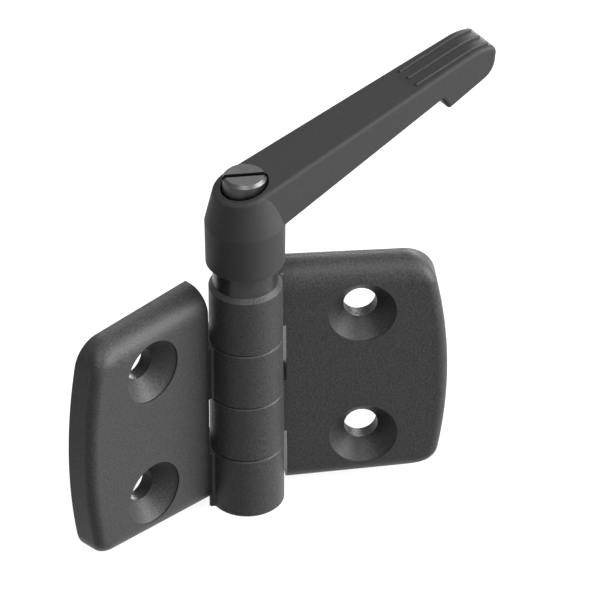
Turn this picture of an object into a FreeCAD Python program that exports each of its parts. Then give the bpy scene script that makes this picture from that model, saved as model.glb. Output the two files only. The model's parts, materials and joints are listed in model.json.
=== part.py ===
import FreeCAD, Part
import math
import os
from FreeCAD import Vector

# Clamping hinge with an indexing hand lever, millimetres.
# The shapes are made with the pin axis on Z and the foot of the barrel at height 0. At the end they are
# moved so that the origin is the centre of the fixed leaf's screws, on the face that is screwed down.
# The fixed leaf runs to -X and its front looks to -Y. The swinging leaf and the lever are turned about
# the pin axis to the pose that they rest in.

# Barrel
barrel_height = 50.0
barrel_radius = 7.0
middle_knuckle_height = 12.15
knuckle_play = 0.05
top_rim_chamfer = 0.85
foot_rim_chamfer = 0.35
seam_rim_chamfer = 0.25
pin_bore_radius = 4.05

# Leaves
leaf_reach = 38.7
leaf_front_depth = 2.0
leaf_thickness = 6.5
leaf_taper_deg = 1.75
leaf_corner_radius = 6.2
leaf_edge_bulge = 3.0
long_edge_rounding = 4.9
outer_edge_rounding = 1.9
back_edge_chamfer = 0.4
root_fillet = 0.6
notch_clearance = 0.85
notch_relief = 0.3

# Screw holes, for countersunk M6 screws
screw_hole_radius = 3.2
countersink_radius = 6.5
countersink_half_angle_deg = 45.0
countersink_mouth_depth = 0.4
screw_hole_offset = 22.4
screw_hole_spacing = 28.0

# Rest pose, measured from the fixed leaf's +X
swing_rest_deg = -37.55
lever_rest_deg = -9.1

# Clamp bolt
bolt_head_radius = 5.5
bolt_head_height = 2.2
bolt_square_width = 7.6
bolt_square_height = 4.0
bolt_shank_radius = 4.0
bolt_thread_radius = 2.97
bolt_fit = 0.06
bolt_thread_length = 5.6
bolt_head_setback = 0.1
bolt_shank_setback = 0.5

# Threaded insert
collar_radius = 6.2
collar_height = 4.3
insert_play = 0.06
insert_guide_radius = 5.0
insert_guide_height = 3.9
serration_height = 3.5
serration_depth = 0.6
serration_count = 24
serration_clearance = 0.1
tooth_tip_share = 0.14
tooth_root_share = 0.42
insert_thread_radius = 3.0
thread_runout = 0.4
screw_hole_depth = 4.6

# Retaining screw and spring
screw_head_radius = 4.2
screw_head_height = 3.3
screw_head_bevel = 0.55
screw_slot_width = 1.0
screw_slot_depth = 1.3
screw_slot_deg = -37.7
screw_shoulder_radius = 2.8
screw_thread_radius = 2.5
screw_thread_fit = 0.02
spring_wire_radius = 0.3
spring_turns = 3.0
spring_mean_radius = 3.7
spring_steps_a_turn = 20
spring_wire_sides = 8
spring_reserve = 0.7
spring_seat_gap = 0.05

# Lever
hub_radius = 7.65
hub_foot_radius = 7.5
hub_foot_chamfer = 0.4
hub_collar_height = 9.4
hub_top_radius = 5.9
hub_cone_height = 7.6
hub_cone_spare = 2.2
hub_play = 0.1
hub_web_height = 2.4
hub_web_bore_radius = 3.1
recess_radius = 4.6
lever_lift = 4.0
arm_top_rise = 17.54
arm_top_slope = 0.237
arm_foot_rise = 7.29
arm_foot_slope = 0.35
arm_length = 55.6
arm_crown_setback = 6.1
arm_crown_radius = 10.8
arm_tip_half_width = 4.1
arm_edge_rounding = 0.8
arm_foot_rounding = 0.4
hub_rim_rounding = 0.8
nose_rounding = 1.8
nose_height = 5.5
nose_lean = 0.8
lobe_rounding = 4.2
hook_setback = 13.2
hook_lean = 1.8
hook_depth = 3.6
hook_rounding = 0.5

# Grip ribs on top of the arm's tip
rib_count = 3
rib_pitch = 2.7
rib_radius = 0.35
rib_sides = 8
rib_setback = 18.0
rib_end_deg = 11.0

# Worked out from the sizes above
end_knuckle_height = (barrel_height - 2 * middle_knuckle_height) / 2
seams = [
    0.0,
    end_knuckle_height,
    end_knuckle_height + middle_knuckle_height,
    end_knuckle_height + 2 * middle_knuckle_height,
    barrel_height,
]
leaf_back_depth = leaf_front_depth + leaf_thickness
notch_wall = barrel_radius + notch_clearance
collar_top = barrel_height + insert_play + collar_height
guide_top = collar_top + insert_guide_height
insert_top = guide_top + serration_height
hub_foot = collar_top + hub_play
web_foot = insert_top + hub_play
web_top = web_foot + hub_web_height
serration_radius = insert_guide_radius
arm_straight_length = arm_length - arm_crown_setback
hook_start = arm_length - hook_setback
rib_start = arm_length - rib_setback
head_foot = web_top + lever_lift + 2 * spring_wire_radius * spring_turns + spring_reserve
head_top = head_foot + screw_head_height


def at(x, y, z):
    return Vector(x, y, z)


def cylinder(radius, foot, top):
    return Part.makeCylinder(radius, top - foot, at(0, 0, foot))


def box(low, high):
    size = [high[i] - low[i] for i in range(3)]
    return Part.makeBox(size[0], size[1], size[2], at(*low))


def turned(shape, degrees):
    copy = shape.copy()
    copy.rotate(at(0, 0, 0), at(0, 0, 1), degrees)
    return copy


def prism(points, plane, start, length):
    """Straight prism on a closed outline of points in the XZ or XY plane."""
    if plane == "xz":
        corners = [at(u, start, v) for u, v in points]
        direction = at(0, length, 0)
    else:
        corners = [at(u, v, start) for u, v in points]
        direction = at(0, 0, length)
    wire = Part.makePolygon(corners + corners[:1])
    return Part.Face(wire).extrude(direction)


def middle_of(edge):
    return edge.valueAt((edge.FirstParameter + edge.LastParameter) / 2)


def rim_edges(solid, height):
    return [e for e in solid.Edges if e.Closed and abs(e.CenterOfMass.z - height) < 1e-6]


def knuckle(index, end_chamfer):
    """One knuckle of the barrel, index 0 at the foot; an end of the barrel gets the larger chamfer."""
    foot = seams[index]
    top = seams[index + 1]
    foot_chamfer = end_chamfer
    top_chamfer = end_chamfer
    if index > 0:
        foot += knuckle_play / 2
        foot_chamfer = seam_rim_chamfer
    if index < len(seams) - 2:
        top -= knuckle_play / 2
        top_chamfer = seam_rim_chamfer
    solid = cylinder(barrel_radius, foot, top)
    solid = solid.makeChamfer(foot_chamfer, rim_edges(solid, foot))
    return solid.makeChamfer(top_chamfer, rim_edges(solid, top))


def edge_height(x):
    """How far the leaf's long edge lies from the end of the barrel at x."""
    return x * math.tan(math.radians(leaf_taper_deg))


def leaf_outline():
    """Front view of a whole leaf: two tapering long edges and a bowed outer edge."""
    corner_x = leaf_reach - leaf_edge_bulge
    drop = edge_height(corner_x)
    foot_in = at(0, leaf_front_depth, 0)
    foot_out = at(corner_x, leaf_front_depth, drop)
    middle = at(leaf_reach, leaf_front_depth, barrel_height / 2)
    top_out = at(corner_x, leaf_front_depth, barrel_height - drop)
    top_in = at(0, leaf_front_depth, barrel_height)
    return Part.Wire([
        Part.makeLine(foot_in, foot_out),
        Part.Arc(foot_out, middle, top_out).toShape(),
        Part.makeLine(top_out, top_in),
        Part.makeLine(top_in, foot_in),
    ])


def rounded_edges(shape, rounds):
    """Fillet a chain of edges with a radius at each end; rounds holds edge number and the two radii."""
    document = FreeCAD.newDocument("fillet")
    base = document.addObject("Part::Feature", "base")
    base.Shape = shape
    fillet = document.addObject("Part::Fillet", "fillet")
    fillet.Base = base
    fillet.Edges = rounds
    document.recompute()
    result = fillet.Shape.copy()
    FreeCAD.closeDocument(document.Name)
    return result


def leaf_plate():
    """The plate of a leaf, with a big rounding on its long edges and a small one on its outer edge."""
    plate = Part.Face(leaf_outline()).extrude(at(0, leaf_thickness, 0))
    corner_x = leaf_reach - leaf_edge_bulge
    corners = [
        e for e in plate.Edges
        if abs(e.tangentAt(e.FirstParameter).y) > 0.99 and abs(e.CenterOfMass.x - corner_x) < 1e-3
    ]
    plate = plate.makeFillet(leaf_corner_radius, corners)
    rounds = []
    for number, edge in enumerate(plate.Edges, 1):
        middle = middle_of(edge)
        if abs(middle.y - leaf_front_depth) > 1e-6 or middle.x < 1e-6:
            continue
        radii = [edge_rounding(v.Point) for v in (edge.firstVertex(), edge.lastVertex())]
        rounds.append((number, radii[0], radii[1]))
    plate = rounded_edges(plate, rounds)
    back = [
        e for e in plate.Edges
        if abs(e.BoundBox.YMin - leaf_back_depth) < 1e-6 and e.CenterOfMass.x > 1e-3
    ]
    return plate.makeChamfer(back_edge_chamfer, back)


def edge_rounding(point):
    """Front rounding at a corner of the outline: large on the long edges, small on the outer edge."""
    drop = edge_height(point.x)
    on_long_edge = min(abs(point.z - drop), abs(barrel_height - drop - point.z)) < 1e-3
    return long_edge_rounding if on_long_edge else outer_edge_rounding


def screw_hole(height):
    """Countersunk hole, its mouth on the front of the leaf."""
    slope = math.tan(math.radians(countersink_half_angle_deg))
    cone_end = leaf_front_depth + countersink_mouth_depth + (countersink_radius - screw_hole_radius) / slope
    outline = [
        at(0, leaf_front_depth - 1, 0),
        at(countersink_radius, leaf_front_depth - 1, 0),
        at(countersink_radius, leaf_front_depth + countersink_mouth_depth, 0),
        at(screw_hole_radius, cone_end, 0),
        at(screw_hole_radius, leaf_back_depth + 1, 0),
        at(0, leaf_back_depth + 1, 0),
    ]
    hole = Part.Face(Part.makePolygon(outline + outline[:1])).revolve(at(0, 0, 0), at(0, 1, 0), 360)
    hole.translate(at(screw_hole_offset, 0, height))
    return hole


def web_heel(foot, top):
    """Slope behind the barrel that runs from the back of the leaf to the round of a knuckle."""
    angle = math.acos(barrel_radius / leaf_back_depth)
    touch = (-barrel_radius * math.sin(angle), barrel_radius * math.cos(angle))
    points = [touch, (0, leaf_back_depth), (0, touch[1])]
    return prism(points, "xy", foot, top - foot)


def web_fillet(foot, top):
    """Hollow rounding in front, where the plate meets the round of its own knuckle."""
    centre_y = leaf_front_depth - root_fillet
    centre_x = math.sqrt((barrel_radius + root_fillet) ** 2 - centre_y ** 2)
    share = barrel_radius / (barrel_radius + root_fillet)
    touch = (centre_x * share, centre_y * share)
    inner_y = leaf_front_depth + root_fillet
    points = [touch, (touch[0], inner_y), (centre_x, inner_y), (centre_x, leaf_front_depth)]
    hollow = Part.makeCylinder(root_fillet, top - foot, at(centre_x, centre_y, foot))
    return prism(points, "xy", foot, top - foot).cut(hollow)


def leaf(own_knuckles, end_chamfer):
    """One casting: a plate with screw holes and every second knuckle of the barrel."""
    body = leaf_plate()
    last = len(seams) - 2
    for index in range(len(seams) - 1):
        if index in own_knuckles:
            continue
        foot = seams[index] - notch_relief if index > 0 else -1.0
        top = seams[index + 1] + notch_relief if index < last else barrel_height + 1.0
        body = body.cut(box((-1, 0, foot), (notch_wall, leaf_back_depth + 1, top)))
    for index in own_knuckles:
        foot = seams[index] + (notch_relief if index > 0 else end_chamfer)
        top = seams[index + 1] - (notch_relief if index < last else end_chamfer)
        body = body.fuse([knuckle(index, end_chamfer), web_heel(foot, top), web_fillet(foot, top)])
    for side in (-1, 1):
        body = body.cut(screw_hole(barrel_height / 2 + side * screw_hole_spacing / 2))
    return body.cut(cylinder(pin_bore_radius, -1, barrel_height + 1)).removeSplitter()


def make_right_leaf():
    return turned(leaf([1, 3], top_rim_chamfer), swing_rest_deg)


def make_left_leaf():
    """The same casting turned upside down, with a square seat for the clamp bolt at its foot."""
    body = leaf([1, 3], foot_rim_chamfer)
    body.rotate(at(0, 0, barrel_height / 2), at(0, 1, 0), 180)
    half = bolt_square_width / 2 + bolt_fit
    seat = box((-half, -half, 0), (half, half, bolt_head_height + bolt_square_height + bolt_fit))
    head = cylinder(bolt_head_radius + bolt_fit, -1, bolt_head_height + bolt_fit)
    return body.cut(seat).cut(head)


def make_clamp_bolt():
    """Flat head, square neck that keeps it from turning, plain shank and threaded end."""
    half = bolt_square_width / 2
    neck_top = bolt_head_height + bolt_square_height
    shank_top = barrel_height - bolt_shank_setback
    bolt = cylinder(bolt_head_radius, bolt_head_setback, bolt_head_height)
    neck = box((-half, -half, bolt_head_height), (half, half, neck_top))
    shank = cylinder(bolt_shank_radius, neck_top, shank_top)
    thread = cylinder(bolt_thread_radius, shank_top, barrel_height + insert_play + bolt_thread_length)
    return bolt.fuse([neck, shank, thread]).removeSplitter()


def serrated(radius, depth, foot, top, grow):
    """Round bar with straight teeth; grow widens every face by a clearance, for the socket."""
    pitch = 2 * math.pi / serration_count
    tip = radius + grow
    root = radius - depth + grow
    side = grow / radius
    points = []
    for tooth in range(serration_count):
        middle = tooth * pitch
        for share, reach in ((-tooth_root_share, root), (-tooth_tip_share, tip),
                             (tooth_tip_share, tip), (tooth_root_share, root)):
            angle = middle + share * pitch + math.copysign(side, share)
            points.append((reach * math.cos(angle), reach * math.sin(angle)))
    return prism(points, "xy", foot, top - foot)


def make_threaded_insert():
    """Steel bush: collar under the hub, round guide, serrated head, threaded from both ends."""
    foot = barrel_height + insert_play
    body = cylinder(collar_radius, foot, collar_top)
    guide = cylinder(insert_guide_radius, collar_top, guide_top)
    teeth = serrated(serration_radius, serration_depth, guide_top, insert_top, 0)
    bolt_hole = cylinder(insert_thread_radius, foot - 1, foot + bolt_thread_length + thread_runout)
    screw_hole_foot = insert_top - screw_hole_depth
    upper_hole = cylinder(screw_thread_radius + screw_thread_fit, screw_hole_foot, insert_top + 1)
    body = body.fuse([guide, teeth]).cut(bolt_hole).cut(upper_hole).removeSplitter()
    return turned(body, lever_rest_deg)


def make_retaining_screw():
    """Slotted cheese-head screw with a plain shoulder that seats on the insert."""
    head = cylinder(screw_head_radius, head_foot, head_top)
    head = head.makeChamfer(screw_head_bevel, rim_edges(head, head_top))
    shoulder = cylinder(screw_shoulder_radius, insert_top, head_foot)
    thread = cylinder(screw_thread_radius, insert_top - screw_hole_depth + thread_runout, insert_top)
    half = screw_slot_width / 2
    slot = box((-2 * screw_head_radius, -half, head_top - screw_slot_depth),
               (2 * screw_head_radius, half, head_top + 1))
    screw = head.fuse([shoulder, thread]).removeSplitter()
    return screw.cut(turned(slot, screw_slot_deg))


def make_return_spring():
    """Coil between the hub's web and the screw head, its wire lofted through eight-sided sections."""
    foot = web_top + spring_wire_radius + spring_seat_gap
    top = head_foot - spring_wire_radius - spring_seat_gap
    steps = round(spring_turns * spring_steps_a_turn)
    sections = []
    for step in range(steps + 1):
        angle = 2 * math.pi * step / spring_steps_a_turn
        height = foot + (top - foot) * step / steps
        corners = []
        for side in range(spring_wire_sides):
            roll = 2 * math.pi * side / spring_wire_sides
            radius = spring_mean_radius + spring_wire_radius * math.cos(roll)
            z = height + spring_wire_radius * math.sin(roll)
            corners.append(at(radius * math.cos(angle), radius * math.sin(angle), z))
        sections.append(Part.makePolygon(corners + corners[:1]))
    return Part.makeLoft(sections, True, True)


def arm_top_at(x):
    return hub_foot + arm_top_rise + arm_top_slope * x


def arm_foot_at(x):
    return hub_foot + arm_foot_rise + arm_foot_slope * x


def crown_point(degrees):
    """Point in the side view on the crown of the tip, by its angle from upright."""
    slope = math.atan(arm_top_slope)
    angle = math.radians(degrees)
    centre_x = arm_straight_length + arm_crown_radius * math.sin(slope)
    centre_z = arm_top_at(arm_straight_length) - arm_crown_radius * math.cos(slope)
    return at(centre_x + arm_crown_radius * math.sin(angle), 0, centre_z + arm_crown_radius * math.cos(angle))


def top_path(start, end_deg):
    """The top of the arm in the side view: a straight stretch and part of the crown."""
    crown_start = -math.degrees(math.atan(arm_top_slope))
    first = crown_point(crown_start)
    middle = crown_point((crown_start + end_deg) / 2)
    straight = Part.makeLine(at(start, 0, arm_top_at(start)), first)
    return [straight, Part.Arc(first, middle, crown_point(end_deg)).toShape()]


def arm_side():
    """Side view of the arm in the XZ plane: crowned tip with a nose, and a hook under it."""
    run = arm_length - crown_point(0).x
    nose_deg = math.degrees(math.asin(run / arm_crown_radius))
    top = top_path(0, nose_deg)
    nose = crown_point(nose_deg)
    lobe = at(arm_length - nose_lean, 0, nose.z - nose_height)
    hook_top = at(hook_start, 0, arm_foot_at(hook_start))
    hook_foot = at(hook_start + hook_lean, 0, arm_foot_at(hook_start + hook_lean) - hook_depth)
    corners = [nose, lobe, hook_foot, hook_top, at(0, 0, arm_foot_at(0)), at(0, 0, arm_top_at(0))]
    sides = [Part.makeLine(corners[i], corners[i + 1]) for i in range(len(corners) - 1)]
    return Part.Wire(top + sides)


def crossing_edges(solid, x, z):
    """Edges that run across the arm through one corner of its side view."""
    return [
        e for e in solid.Edges
        if abs(e.CenterOfMass.x - x) < 1e-3 and abs(e.CenterOfMass.z - z) < 1e-3
    ]


def arm_plan():
    """Plan of the arm: it leaves the hub along tangents and narrows to the tip."""
    lean = math.asin((hub_top_radius - arm_tip_half_width) / arm_length)
    root = hub_top_radius / math.cos(lean)
    end = arm_length + 2
    outer = root - end * math.tan(lean)
    return [(0, root), (end, outer), (end, -outer), (0, -root)]


def is_arm_side(edge):
    """Whether an edge runs along one of the arm's two sides."""
    return abs(middle_of(edge).y) > arm_tip_half_width / 2 and edge.BoundBox.XLength > 1e-3


def is_arm_foot(edge):
    """Whether an edge of the arm's side lies under the arm, short of the hook's lobe."""
    middle = middle_of(edge)
    return middle.x < hook_start + hook_lean and middle.z < arm_top_at(middle.x) - 1


def make_arm():
    wire = arm_side()
    side = Part.Face(wire)
    side.translate(at(0, -hub_radius, 0))
    body = side.extrude(at(0, 2 * hub_radius, 0))
    lines = [e for e in wire.Edges if e.Curve.TypeId == "Part::GeomLine"]
    nose, lobe, hook_foot = [line.Vertexes[0].Point for line in lines[1:4]]
    for corner, radius in ((nose, nose_rounding), (lobe, lobe_rounding), (hook_foot, hook_rounding)):
        body = body.makeFillet(radius, crossing_edges(body, corner.x, corner.z))
    body = body.common(prism(arm_plan(), "xy", hub_foot, arm_top_at(2 * arm_length) - hub_foot))
    upper = [e for e in body.Edges if is_arm_side(e) and not is_arm_foot(e)]
    body = body.makeFillet(arm_edge_rounding, upper)
    lower = [
        e for e in body.Edges
        if is_arm_side(e) and is_arm_foot(e) and e.Curve.TypeId == "Part::GeomLine"
    ]
    return body.makeFillet(arm_foot_rounding, lower)


def grip_rib(offset):
    """Thin bar along the top of the tip, its lower half sunk into the arm."""
    path = Part.Wire(top_path(rib_start, rib_end_deg))
    slope = math.atan(arm_top_slope)
    corners = []
    for side in range(rib_sides):
        roll = 2 * math.pi * (side + 0.5) / rib_sides
        rise = rib_radius * math.sin(roll)
        across = rib_radius * math.cos(roll)
        corners.append(at(rib_start - rise * math.sin(slope), offset + across,
                          arm_top_at(rib_start) + rise * math.cos(slope)))
    section = Part.makePolygon(corners + corners[:1])
    return path.makePipeShell([section], True, True)


def make_hub():
    """Outside of the hub: bevelled foot, collar and cone, cut off by the sloping top of the arm."""
    collar_end = hub_foot + hub_collar_height
    slope = (hub_radius - hub_top_radius) / hub_cone_height
    above = arm_top_at(hub_radius) + hub_cone_spare
    outline = [
        at(0, 0, hub_foot), at(hub_foot_radius, 0, hub_foot), at(hub_radius, 0, collar_end),
        at(hub_radius - slope * (above - collar_end), 0, above), at(0, 0, above),
    ]
    hub = Part.Face(Part.makePolygon(outline + outline[:1])).revolve(at(0, 0, 0), at(0, 0, 1), 360)
    hub = hub.makeChamfer(hub_foot_chamfer, rim_edges(hub, hub_foot))
    reach = 3 * hub_radius
    lid = arm_top_at(arm_length)
    cover = [(-reach, arm_top_at(-reach)), (reach, arm_top_at(reach)), (reach, lid), (-reach, lid)]
    hub = hub.cut(prism(cover, "xz", -reach, 2 * reach))
    lowest_rim = arm_top_at(-hub_radius)
    top_rim = [e for e in hub.Edges if e.BoundBox.ZMax > lowest_rim and e.Curve.TypeId == "Part::GeomEllipse"]
    return hub.makeFillet(hub_rim_rounding, top_rim)


def make_lever_handle():
    body = make_hub().fuse(make_arm()).removeSplitter()
    for number in range(rib_count):
        body = body.fuse(grip_rib((number - (rib_count - 1) / 2) * rib_pitch))
    body = body.cut(cylinder(recess_radius, web_top, arm_top_at(arm_length)))
    body = body.cut(cylinder(hub_web_bore_radius, web_foot - 1, web_top + 1))
    guide = insert_guide_radius + serration_clearance
    body = body.cut(cylinder(guide, hub_foot - 1, guide_top + serration_clearance))
    body = body.cut(serrated(serration_radius, serration_depth, guide_top, web_foot, serration_clearance))
    return turned(body, lever_rest_deg)


def to_mount_frame(shape):
    moved = shape.copy()
    moved.translate(at(screw_hole_offset, -leaf_back_depth, -barrel_height / 2))
    return moved


nodes = {
    "left_leaf": make_left_leaf,
    "right_leaf": make_right_leaf,
    "clamp_bolt": make_clamp_bolt,
    "threaded_insert": make_threaded_insert,
    "retaining_screw": make_retaining_screw,
    "return_spring": make_return_spring,
    "lever_handle": make_lever_handle,
}

os.makedirs("parts", exist_ok=True)
for name, make in nodes.items():
    shape = to_mount_frame(make())
    if len(shape.Solids) == 1:
        shape = shape.Solids[0]
    print(name, shape.ShapeType, "valid", shape.isValid(), "volume", round(shape.Volume, 1))
    shape.exportStep("parts/" + name + ".step")
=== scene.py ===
import json
import math

import bpy
from mathutils import Matrix, Vector


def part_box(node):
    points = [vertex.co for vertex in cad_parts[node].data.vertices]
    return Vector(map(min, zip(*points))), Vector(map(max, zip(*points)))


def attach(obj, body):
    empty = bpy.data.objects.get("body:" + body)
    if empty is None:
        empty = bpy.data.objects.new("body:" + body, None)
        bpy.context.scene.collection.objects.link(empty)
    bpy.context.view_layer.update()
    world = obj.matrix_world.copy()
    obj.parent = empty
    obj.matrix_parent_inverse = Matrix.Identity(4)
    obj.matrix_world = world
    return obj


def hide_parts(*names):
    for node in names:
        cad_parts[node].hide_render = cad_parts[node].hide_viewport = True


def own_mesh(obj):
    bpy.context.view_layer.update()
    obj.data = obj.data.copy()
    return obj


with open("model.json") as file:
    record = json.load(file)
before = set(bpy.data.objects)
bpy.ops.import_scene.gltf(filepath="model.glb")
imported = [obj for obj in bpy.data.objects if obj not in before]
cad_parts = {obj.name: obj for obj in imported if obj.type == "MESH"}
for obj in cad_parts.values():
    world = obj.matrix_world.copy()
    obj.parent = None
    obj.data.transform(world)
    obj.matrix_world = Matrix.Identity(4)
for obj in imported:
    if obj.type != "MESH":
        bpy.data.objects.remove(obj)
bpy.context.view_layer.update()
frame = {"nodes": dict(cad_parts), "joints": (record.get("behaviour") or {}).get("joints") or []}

# Places taken from the frame, in metres
swing = next(joint for joint in frame["joints"] if joint["name"] == "leaf_swing")
pin_x, pin_y = swing["pos_m"][0], swing["pos_m"][1]
barrel_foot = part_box("left_leaf")[0].z
spring_low, spring_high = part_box("return_spring")

# Camera, fitted to the photograph, whose frame is 600 pixels wide
frame_pixels = 600.0
sensor_mm = 36.0
camera_azimuth = math.radians(-44.1)
camera_elevation = math.radians(35.12)
camera_roll = math.radians(0.41)
camera_distance = 3.378
camera_near = 0.1
camera_far = 20.0
pixels_per_metre = 5276.4

# The photograph shows the pin's axis at this pixel, at this height over the barrel's foot
axis_pixel = (247.417, 493.122)
axis_pixel_height = 0.00068

# Studio: the white that is seen and reflected is set apart from the light that falls on the hinge
floor_half_width = 6.0
floor_grey = 0.15
floor_roughness = 0.9
floor_glow = 0.92
world_light = 0.02
world_white = 1.0
lamp_distance = 0.9
lamp_aim_height = 0.01

# Paint: scales of the noise per metre, depths in metres
wave_scale = 90.0
wave_depth = 0.00006
paint_cloud_scale = 160.0
paint_cloud_roughness = 0.03
paint_grain_roughness = 0.04

# Turned steel
ring_scale = 5200.0
ring_roughness = 0.07
steel_cloud_scale = 420.0

# Noise: octaves, roughness, and the span of its values that each ramp spreads out
fine_detail = 3.0
cloud_detail = 4.0
noise_roughness = 0.6
noise_span = (0.3, 0.7)
speckle_span = (0.38, 0.62)
plating_span = (0.35, 0.7)

# Colour sockets of Blender's mix node
mix_first = 6
mix_second = 7
mix_result = 2

# Coil of the return spring
wire_radius = 0.0003
spring_turns = 3
steps_a_turn = 32
wire_sides = 10


def camera_axes():
    """Right, up and viewing direction of the camera in the row frame."""
    sin_e, cos_e = math.sin(camera_elevation), math.cos(camera_elevation)
    turn = Matrix.Rotation(camera_azimuth, 3, "Z")
    forward = turn @ Vector((0.0, cos_e, -sin_e))
    right = turn @ Vector((1.0, 0.0, 0.0))
    down = turn @ Vector((0.0, -sin_e, -cos_e))
    cos_r, sin_r = math.cos(camera_roll), math.sin(camera_roll)
    return cos_r * right + sin_r * down, sin_r * right - cos_r * down, forward


def add_object(name, data):
    added = bpy.data.objects.new(name, data)
    bpy.context.scene.collection.objects.link(added)
    return added


def add_camera():
    right, up, forward = camera_axes()
    across = (axis_pixel[0] - frame_pixels / 2) / pixels_per_metre
    below = (axis_pixel[1] - frame_pixels / 2) / pixels_per_metre
    seen = Vector((pin_x, pin_y, barrel_foot + axis_pixel_height))
    data = bpy.data.cameras.new("camera")
    data.sensor_width = sensor_mm
    data.lens = camera_distance * pixels_per_metre / frame_pixels * sensor_mm
    data.clip_start = camera_near
    data.clip_end = camera_far
    camera = add_object("camera", data)
    rotation = Matrix((right, up, -forward)).transposed().to_4x4()
    place = seen - right * across + up * below - forward * camera_distance
    camera.matrix_world = Matrix.Translation(place) @ rotation
    bpy.context.scene.camera = camera


class Nodes:
    """Small helper that adds shader nodes to one material and links them."""

    def __init__(self, name):
        self.material = bpy.data.materials.new(name)
        self.material.use_nodes = True
        self.tree = self.material.node_tree
        self.shader = self.tree.nodes["Principled BSDF"]
        self.place = self.add("ShaderNodeTexCoord").outputs["Object"]

    def add(self, kind, **settings):
        node = self.tree.nodes.new(kind)
        for key, value in settings.items():
            setattr(node, key, value)
        return node

    def link(self, output, target):
        self.tree.links.new(output, target)

    def noise(self, scale, detail=2.0, roughness=0.5, place=None):
        node = self.add("ShaderNodeTexNoise")
        node.inputs["Scale"].default_value = scale
        node.inputs["Detail"].default_value = detail
        node.inputs["Roughness"].default_value = roughness
        self.link(place or self.place, node.inputs["Vector"])
        return node.outputs["Fac"]

    def ramp(self, value, span, to_low=0.0, to_high=1.0):
        node = self.add("ShaderNodeMapRange")
        self.link(value, node.inputs["Value"])
        for key, number in zip(("From Min", "From Max", "To Min", "To Max"), (*span, to_low, to_high)):
            node.inputs[key].default_value = number
        return node.outputs["Result"]

    def ramp_about(self, value, middle, reach):
        return self.ramp(value, noise_span, middle - reach, middle + reach)

    def sum(self, first, second):
        node = self.add("ShaderNodeMath", operation="ADD")
        self.link(first, node.inputs[0])
        self.link(second, node.inputs[1])
        return node.outputs[0]

    def mix_colour(self, factor, first, second):
        node = self.add("ShaderNodeMix", data_type="RGBA")
        self.link(factor, node.inputs[0])
        node.inputs[mix_first].default_value = (*first, 1.0)
        node.inputs[mix_second].default_value = (*second, 1.0)
        return node.outputs[mix_result]

    def bump(self, height, distance, below=None):
        node = self.add("ShaderNodeBump")
        node.inputs["Distance"].default_value = distance
        node.inputs["Strength"].default_value = 1.0
        self.link(height, node.inputs["Height"])
        if below is not None:
            self.link(below, node.inputs["Normal"])
        return node.outputs["Normal"]


def painted_casting(name, colour, speckle, roughness, grain, grain_depth, gloss):
    """Black paint over a die casting: fine grain, slow waves in the surface and uneven roughness."""
    nodes = Nodes(name)
    fine = nodes.noise(grain, fine_detail, noise_roughness)
    wave = nodes.noise(wave_scale)
    cloud = nodes.noise(paint_cloud_scale, cloud_detail, noise_roughness)
    dark = tuple(channel * (1.0 - speckle) for channel in colour)
    pale = tuple(channel * (1.0 + speckle) for channel in colour)
    speckled = nodes.mix_colour(nodes.ramp(fine, speckle_span), dark, pale)
    nodes.link(speckled, nodes.shader.inputs["Base Color"])
    clouded = nodes.ramp_about(cloud, roughness, paint_cloud_roughness)
    grained = nodes.ramp_about(fine, 0.0, paint_grain_roughness)
    nodes.link(nodes.sum(clouded, grained), nodes.shader.inputs["Roughness"])
    waved = nodes.bump(wave, wave_depth)
    nodes.link(nodes.bump(fine, grain_depth, waved), nodes.shader.inputs["Normal"])
    nodes.shader.inputs["Specular IOR Level"].default_value = gloss
    return nodes.material


def lathe_place(nodes):
    """Coordinate that changes only with the distance from the pin's axis and the height along it."""
    shift = nodes.add("ShaderNodeVectorMath", operation="SUBTRACT")
    nodes.link(nodes.place, shift.inputs[0])
    shift.inputs[1].default_value = (pin_x, pin_y, 0.0)
    flat = nodes.add("ShaderNodeVectorMath", operation="MULTIPLY")
    nodes.link(shift.outputs[0], flat.inputs[0])
    flat.inputs[1].default_value = (1.0, 1.0, 0.0)
    radius = nodes.add("ShaderNodeVectorMath", operation="LENGTH")
    nodes.link(flat.outputs[0], radius.inputs[0])
    split = nodes.add("ShaderNodeSeparateXYZ")
    nodes.link(nodes.place, split.inputs[0])
    join = nodes.add("ShaderNodeCombineXYZ")
    nodes.link(nodes.sum(radius.outputs["Value"], split.outputs["Z"]), join.inputs["X"])
    return join.outputs[0]


def turned_steel(name, colour, dark, metal, gloss, roughness, ring_depth):
    """Steel turned on a lathe: fine rings round the pin axis, uneven plating and a little grime."""
    nodes = Nodes(name)
    rings = nodes.noise(ring_scale, fine_detail, noise_roughness, lathe_place(nodes))
    cloud = nodes.noise(steel_cloud_scale, cloud_detail, noise_roughness)
    plating = nodes.mix_colour(nodes.ramp(cloud, plating_span), dark, colour)
    nodes.link(plating, nodes.shader.inputs["Base Color"])
    nodes.link(nodes.ramp_about(rings, roughness, ring_roughness), nodes.shader.inputs["Roughness"])
    nodes.link(nodes.bump(rings, ring_depth), nodes.shader.inputs["Normal"])
    nodes.shader.inputs["Metallic"].default_value = metal
    nodes.shader.inputs["Specular IOR Level"].default_value = gloss
    return nodes.material


def give(material, *names):
    for name in names:
        node = frame["nodes"][name]
        node.data.materials.clear()
        node.data.materials.append(material)


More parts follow.
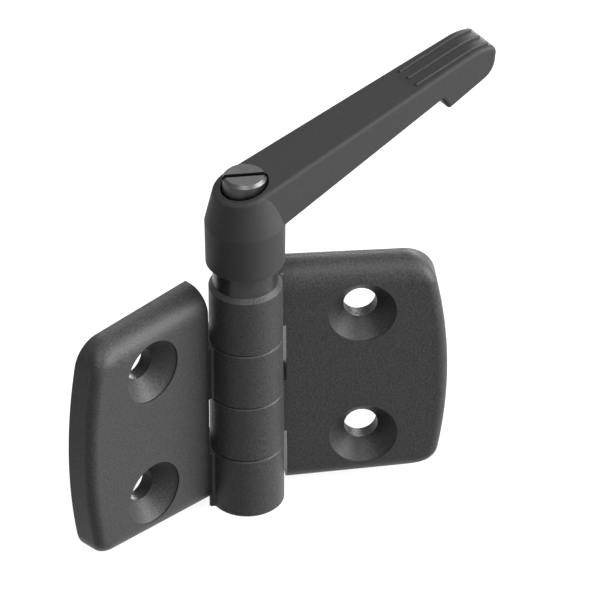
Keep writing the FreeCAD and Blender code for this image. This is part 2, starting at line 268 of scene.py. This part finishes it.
def coil_mesh(name, mean_radius, foot, rise):
    """Open coil round the pin's axis; foot is the height at which the wire's centre starts."""
    steps = spring_turns * steps_a_turn
    points, faces = [], []
    for step in range(steps + 1):
        angle = 2 * math.pi * step / steps_a_turn
        ray = Vector((math.cos(angle), math.sin(angle), 0.0))
        centre = Vector((pin_x, pin_y, foot + rise * step / steps)) + ray * mean_radius
        for side in range(wire_sides):
            roll = 2 * math.pi * side / wire_sides
            points.append(centre + (ray * math.cos(roll) + Vector((0, 0, math.sin(roll)))) * wire_radius)
    for step in range(steps):
        for side in range(wire_sides):
            following = (side + 1) % wire_sides
            here, beyond = step * wire_sides, (step + 1) * wire_sides
            faces.append((here + side, here + following, beyond + following, beyond + side))
    faces.append(tuple(range(wire_sides))[::-1])
    faces.append(tuple(steps * wire_sides + side for side in range(wire_sides)))
    mesh = bpy.data.meshes.new(name)
    mesh.from_pydata([tuple(point) for point in points], [], faces)
    mesh.shade_smooth()
    return mesh


def spring_piece(material):
    """Coil spring in the hub, in the CAD spring's place, attached to the clamp bush's body."""
    height = spring_high.z - spring_low.z
    mean_radius = (spring_high.x - spring_low.x) / 2 - wire_radius
    mesh = coil_mesh("spring_coil", mean_radius, spring_low.z + wire_radius, height - 2 * wire_radius)
    mesh.materials.append(material)
    spring = add_object("spring_coil", mesh)
    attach(spring, "clamp_bush")
    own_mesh(spring)
    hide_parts("return_spring")


def white_where_seen(tree, shader, plain, strength):
    """Sets a strength that camera, glossy and transmission rays meet, and a plain one for the rest."""
    path = tree.nodes.new("ShaderNodeLightPath")
    seen = path.outputs["Is Camera Ray"]
    for name in ("Is Glossy Ray", "Is Transmission Ray"):
        either = tree.nodes.new("ShaderNodeMath")
        either.operation = "MAXIMUM"
        tree.links.new(seen, either.inputs[0])
        tree.links.new(path.outputs[name], either.inputs[1])
        seen = either.outputs[0]
    level = tree.nodes.new("ShaderNodeMapRange")
    tree.links.new(seen, level.inputs["Value"])
    level.inputs["To Min"].default_value = plain
    level.inputs["To Max"].default_value = strength
    tree.links.new(level.outputs["Result"], shader)


def add_floor():
    """Pale floor at the height of the barrel's foot."""
    size = floor_half_width
    mesh = bpy.data.meshes.new("floor")
    corners = [(-size, -size), (size, -size), (size, size), (-size, size)]
    mesh.from_pydata([(x, y, barrel_foot) for x, y in corners], [], [(0, 1, 2, 3)])
    floor = add_object("floor", mesh)
    material = bpy.data.materials.new("floor")
    material.use_nodes = True
    shader = material.node_tree.nodes["Principled BSDF"]
    shader.inputs["Base Color"].default_value = (floor_grey, floor_grey, floor_grey, 1.0)
    shader.inputs["Roughness"].default_value = floor_roughness
    shader.inputs["Emission Color"].default_value = (1.0, 1.0, 1.0, 1.0)
    white_where_seen(material.node_tree, shader.inputs["Emission Strength"], 0.0, floor_glow)
    mesh.materials.append(material)


def add_world():
    world = bpy.data.worlds.new("studio")
    world.use_nodes = True
    bpy.context.scene.world = world
    background = world.node_tree.nodes["Background"]
    background.inputs["Color"].default_value = (1.0, 1.0, 1.0, 1.0)
    white_where_seen(world.node_tree, background.inputs["Strength"], world_light, world_white)


def soft_box(name, azimuth, elevation, width, power):
    """Square area lamp aimed at the hinge; its azimuth is counted from the camera's right-hand side."""
    turn = math.radians(azimuth) + camera_azimuth
    tilt = math.radians(elevation)
    ray = Vector((math.cos(turn) * math.cos(tilt), math.sin(turn) * math.cos(tilt), math.sin(tilt)))
    data = bpy.data.lights.new(name, "AREA")
    data.shape = "SQUARE"
    data.size = width
    data.energy = power
    lamp = add_object(name, data)
    lamp.location = Vector((pin_x, pin_y, lamp_aim_height)) + ray * lamp_distance
    lamp.rotation_euler = (-ray).to_track_quat("-Z", "Y").to_euler()


add_camera()
add_floor()
add_world()
soft_box("key_lamp", azimuth=-4, elevation=26, width=0.7, power=25.0)
soft_box("overhead_lamp", azimuth=-90, elevation=66, width=0.3, power=5.5)
soft_box("back_lamp", azimuth=80, elevation=10, width=0.3, power=6.0)

leaf_paint = painted_casting("leaf_paint", colour=(0.032, 0.032, 0.0325), speckle=0.25, roughness=0.42,
                             grain=2600.0, grain_depth=0.00008, gloss=0.17)
lever_paint = painted_casting("lever_paint", colour=(0.03, 0.03, 0.0305), speckle=0.1, roughness=0.55,
                              grain=2800.0, grain_depth=0.000015, gloss=0.14)
plated_steel = turned_steel("plated_steel", colour=(0.08, 0.08, 0.082), dark=(0.05, 0.05, 0.051),
                            metal=1.0, gloss=0.5, roughness=0.38, ring_depth=0.000008)
dark_steel = turned_steel("dark_steel", colour=(0.028, 0.028, 0.0285), dark=(0.018, 0.018, 0.0185),
                          metal=0.0, gloss=0.3, roughness=0.3, ring_depth=0.000008)
spring_steel = turned_steel("spring_steel", colour=(0.45, 0.45, 0.46), dark=(0.3, 0.3, 0.31),
                            metal=1.0, gloss=0.5, roughness=0.3, ring_depth=0.000002)
give(leaf_paint, "left_leaf", "right_leaf")
give(lever_paint, "lever_handle")
give(plated_steel, "retaining_screw", "clamp_bolt")
give(dark_steel, "threaded_insert")
spring_piece(spring_steel)

bpy.context.scene.view_settings.view_transform = "Standard"
